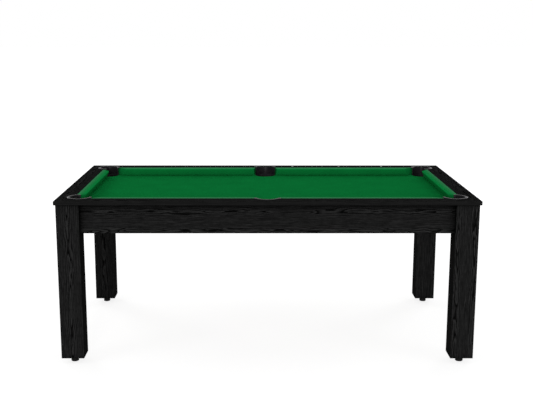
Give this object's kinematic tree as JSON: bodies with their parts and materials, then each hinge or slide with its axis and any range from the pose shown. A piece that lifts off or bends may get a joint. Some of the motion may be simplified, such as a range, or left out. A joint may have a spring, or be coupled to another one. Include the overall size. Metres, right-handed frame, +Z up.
{
  "type": "convertible pool table",
  "caption": "Pool table at dining height: green cloth bed, low flat rails flush for a dining top, drop pockets, square legs and screw-adjusted feet.",
  "frame": {"origin": "on the floor, at the middle of the table's footprint", "axes": "+X along the table towards its right end, +Y towards its back rail, +Z up"},
  "size_m": [2, 1.12, 0.8055],
  "materials": {
    "black_wood": "black laminate with embossed open wood grain, satin",
    "bare_wood": "sawn softwood, unfinished",
    "fibreboard": "bare medium-density fibreboard",
    "bed_cloth": "green woven wool and nylon cloth, stretched flat",
    "cushion_rubber": "rubber cushion under green cloth",
    "pocket_plastic": "moulded black plastic, semi-gloss",
    "foot_plastic": "moulded black plastic, matt",
    "steel": "zinc-plated steel",
    "pearl_inlay": "light grey inlaid disc, polished"
  },
  "bodies": {
    "table": {"rail_board_front": "black_wood", "apron_front": "black_wood", "rail_board_back": "black_wood", "apron_back": "black_wood", "rail_board_left": "black_wood", "apron_left": "black_wood", "rail_board_right": "black_wood", "apron_right": "black_wood", "rail_sight_1": "pearl_inlay", "rail_sight_2": "pearl_inlay", "rail_sight_3": "pearl_inlay", "subrail_front_left": "bare_wood", "cushion_front_left": "cushion_rubber", "subrail_front_right": "bare_wood", "cushion_front_right": "cushion_rubber", "subrail_back_left": "bare_wood", "cushion_back_left": "cushion_rubber", "subrail_back_right": "bare_wood", "cushion_back_right": "cushion_rubber", "subrail_left": "bare_wood", "cushion_left": "cushion_rubber", "subrail_right": "bare_wood", "cushion_right": "cushion_rubber", "crossbeam_left": "bare_wood", "crossbeam_right": "bare_wood", "bed_slab": "fibreboard", "bed_cloth": "bed_cloth", "pocket_liner_front_left": "pocket_plastic", "pocket_cup_front_left": "pocket_plastic", "pocket_liner_front_right": "pocket_plastic", "pocket_cup_front_right": "pocket_plastic", "pocket_liner_back_left": "pocket_plastic", "pocket_cup_back_left": "pocket_plastic", "pocket_liner_back_right": "pocket_plastic", "pocket_cup_back_right": "pocket_plastic", "pocket_liner_front_middle": "pocket_plastic", "pocket_cup_front_middle": "pocket_plastic", "pocket_liner_back_middle": "pocket_plastic", "pocket_cup_back_middle": "pocket_plastic", "leg_front_left": "black_wood", "leg_bracket_front_left": "steel", "foot_insert_front_left": "steel", "leg_front_right": "black_wood", "leg_bracket_front_right": "steel", "foot_insert_front_right": "steel", "leg_back_left": "black_wood", "leg_bracket_back_left": "steel", "foot_insert_back_left": "steel", "leg_back_right": "black_wood", "leg_bracket_back_right": "steel", "foot_insert_back_right": "steel"},
    "foot_pad_front_left": {"foot_pad_front_left": "foot_plastic"},
    "foot_stud_front_left": {"foot_stud_front_left": "steel"},
    "foot_pad_front_right": {"foot_pad_front_right": "foot_plastic"},
    "foot_stud_front_right": {"foot_stud_front_right": "steel"},
    "foot_pad_back_left": {"foot_pad_back_left": "foot_plastic"},
    "foot_stud_back_left": {"foot_stud_back_left": "steel"},
    "foot_pad_back_right": {"foot_pad_back_right": "foot_plastic"},
    "foot_stud_back_right": {"foot_stud_back_right": "steel"}
  },
  "joints": [
    {"name": "foot_height_front_left", "type": "slide", "parent": "table", "child": "foot_pad_front_left", "axis": [0, 0, -1], "range_m": [0, 0.015]},
    {"name": "foot_turn_front_left", "type": "hinge", "parent": "foot_pad_front_left", "child": "foot_stud_front_left", "pos_m": [-0.9375, -0.4975, 0.03], "axis": [0, 0, -1], "range_deg": [0, 3600]},
    {"name": "foot_height_front_right", "type": "slide", "parent": "table", "child": "foot_pad_front_right", "axis": [0, 0, -1], "range_m": [0, 0.015]},
    {"name": "foot_turn_front_right", "type": "hinge", "parent": "foot_pad_front_right", "child": "foot_stud_front_right", "pos_m": [0.9375, -0.4975, 0.03], "axis": [0, 0, -1], "range_deg": [0, 3600]},
    {"name": "foot_height_back_left", "type": "slide", "parent": "table", "child": "foot_pad_back_left", "axis": [0, 0, -1], "range_m": [0, 0.015]},
    {"name": "foot_turn_back_left", "type": "hinge", "parent": "foot_pad_back_left", "child": "foot_stud_back_left", "pos_m": [-0.9375, 0.4975, 0.03], "axis": [0, 0, -1], "range_deg": [0, 3600]},
    {"name": "foot_height_back_right", "type": "slide", "parent": "table", "child": "foot_pad_back_right", "axis": [0, 0, -1], "range_m": [0, 0.015]},
    {"name": "foot_turn_back_right", "type": "hinge", "parent": "foot_pad_back_right", "child": "foot_stud_back_right", "pos_m": [0.9375, 0.4975, 0.03], "axis": [0, 0, -1], "range_deg": [0, 3600]}
  ],
  "couplings": [
    {"joint": "foot_turn_front_left", "follows": "foot_height_front_left", "rad_per_m": 4188.8},
    {"joint": "foot_turn_front_right", "follows": "foot_height_front_right", "rad_per_m": 4188.8},
    {"joint": "foot_turn_back_left", "follows": "foot_height_back_left", "rad_per_m": 4188.8},
    {"joint": "foot_turn_back_right", "follows": "foot_height_back_right", "rad_per_m": 4188.8}
  ]
}
